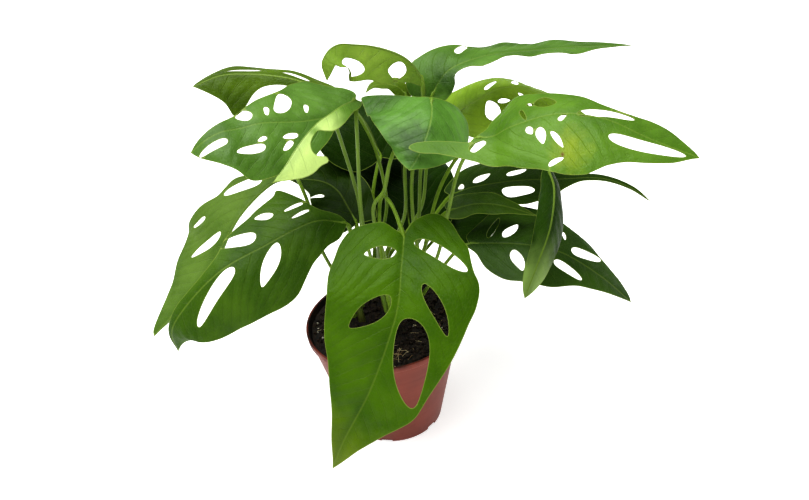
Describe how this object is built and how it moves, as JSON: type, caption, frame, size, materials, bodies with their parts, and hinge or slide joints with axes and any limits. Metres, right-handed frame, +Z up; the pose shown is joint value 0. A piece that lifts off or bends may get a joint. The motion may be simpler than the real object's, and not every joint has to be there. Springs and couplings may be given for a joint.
{
  "type": "potted swiss cheese plant",
  "caption": "Young Swiss cheese vine with long-stalked holed leaves, drooping over a tapered terracotta coloured plastic nursery pot filled with soil.",
  "frame": {"origin": "middle of the pot's underside, on the surface it stands on", "axes": "+Z up along the pot's axis; -Y is the side seen in front, the side that the largest leaf hangs over; +X to the right of it"},
  "size_m": [0.4014, 0.2877, 0.3205],
  "materials": {
    "leaf": "satin, mid green, with pale veins",
    "young_leaf": "satin, yellow-green young leaf",
    "shaded_leaf": "satin, deep green",
    "stem": "satin, yellow-green",
    "pot": "terracotta coloured, with soil marks",
    "soil": "matte, dark, peat and bark mix"
  },
  "bodies": {
    "root": {"leaf_back_left": "shaded_leaf", "leaf_back_middle": "shaded_leaf", "leaf_back_right": "shaded_leaf", "leaf_centre": "leaf", "leaf_curled": "young_leaf", "leaf_front": "leaf", "leaf_hanging": "leaf", "leaf_left_far": "leaf", "leaf_left_low": "leaf", "leaf_left_shade": "shaded_leaf", "leaf_right": "leaf", "leaf_right_behind": "young_leaf", "leaf_right_far": "shaded_leaf", "leaf_right_low": "leaf", "leaf_right_middle": "shaded_leaf", "leaf_top_arched": "young_leaf", "leaf_top_left": "leaf", "leaf_top_right": "leaf", "leaf_top_small": "young_leaf", "leaf_upper_left": "leaf", "pot": "pot", "soil": "soil", "stem_back": "stem", "stem_front": "stem", "stem_left": "stem", "stem_right": "stem"}
  },
  "joints": []
}
